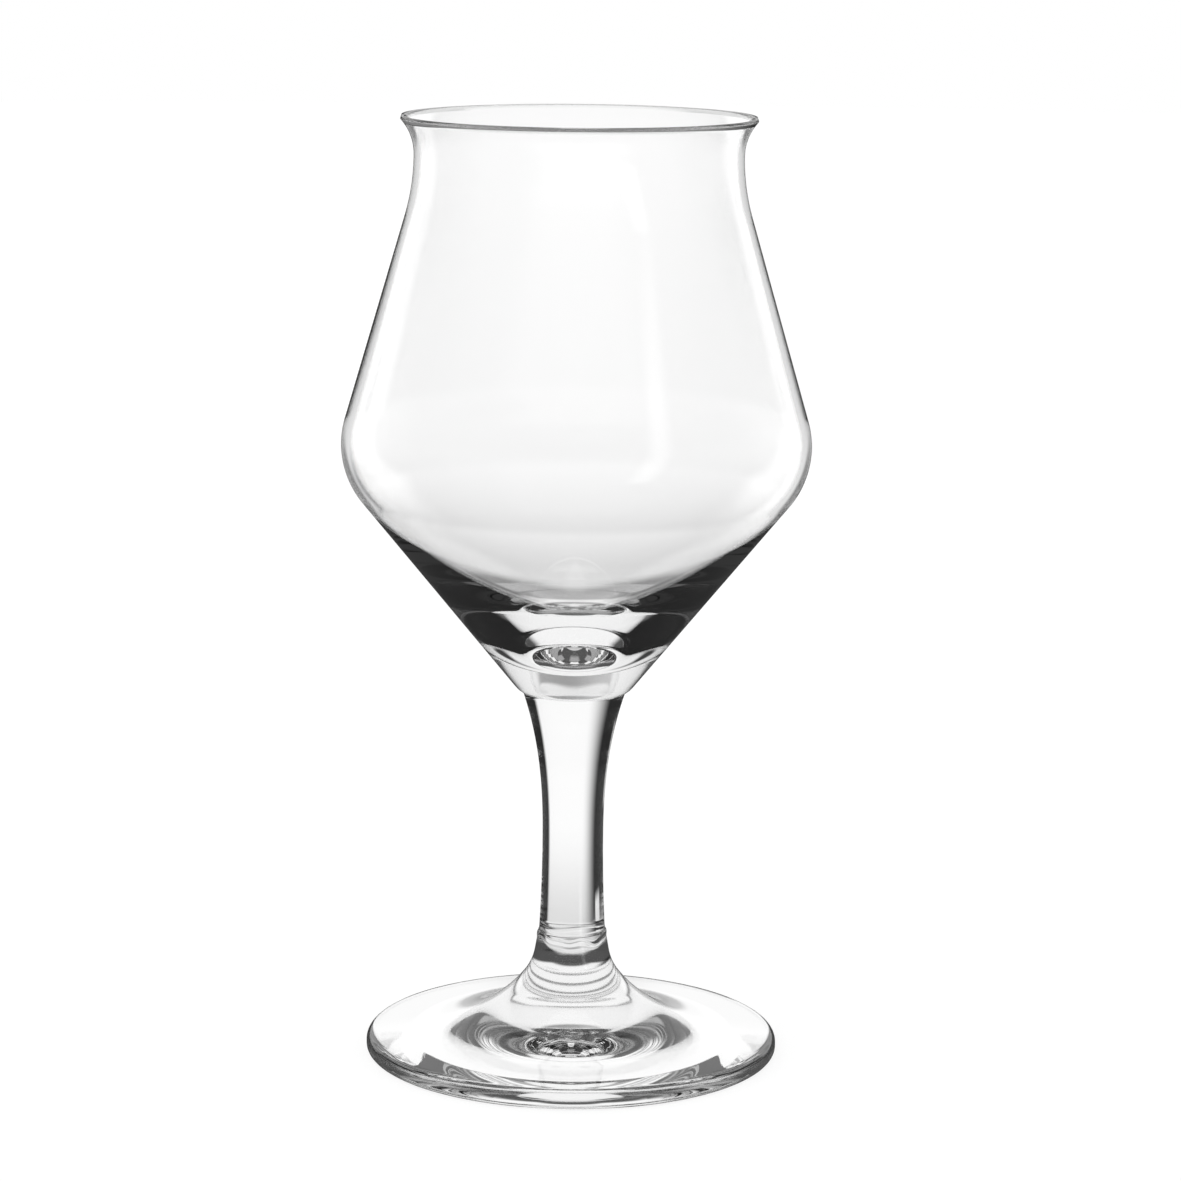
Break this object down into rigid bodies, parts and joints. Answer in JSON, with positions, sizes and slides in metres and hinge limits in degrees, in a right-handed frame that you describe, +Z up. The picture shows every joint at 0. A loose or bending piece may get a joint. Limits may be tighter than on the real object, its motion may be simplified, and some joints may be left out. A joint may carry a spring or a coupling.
{
  "type": "chalice beer glass",
  "caption": "Thin clear stemmed beer glass: pot-bellied bowl with a cone below, a drawn-in neck and a flared lip, on a slender stem and a round foot.",
  "frame": {"origin": "middle of the plane on which the glass stands", "axes": "+Z up along the axis of the glass; the glass is a body of revolution, so X and Y are level and equal"},
  "size_m": [0.0936, 0.0936, 0.19],
  "materials": {
    "clear_glass": "clear colourless crystal glass, fire polished"
  },
  "bodies": {
    "root": {"bowl": "clear_glass", "stem": "clear_glass", "foot": "clear_glass"}
  },
  "joints": []
}
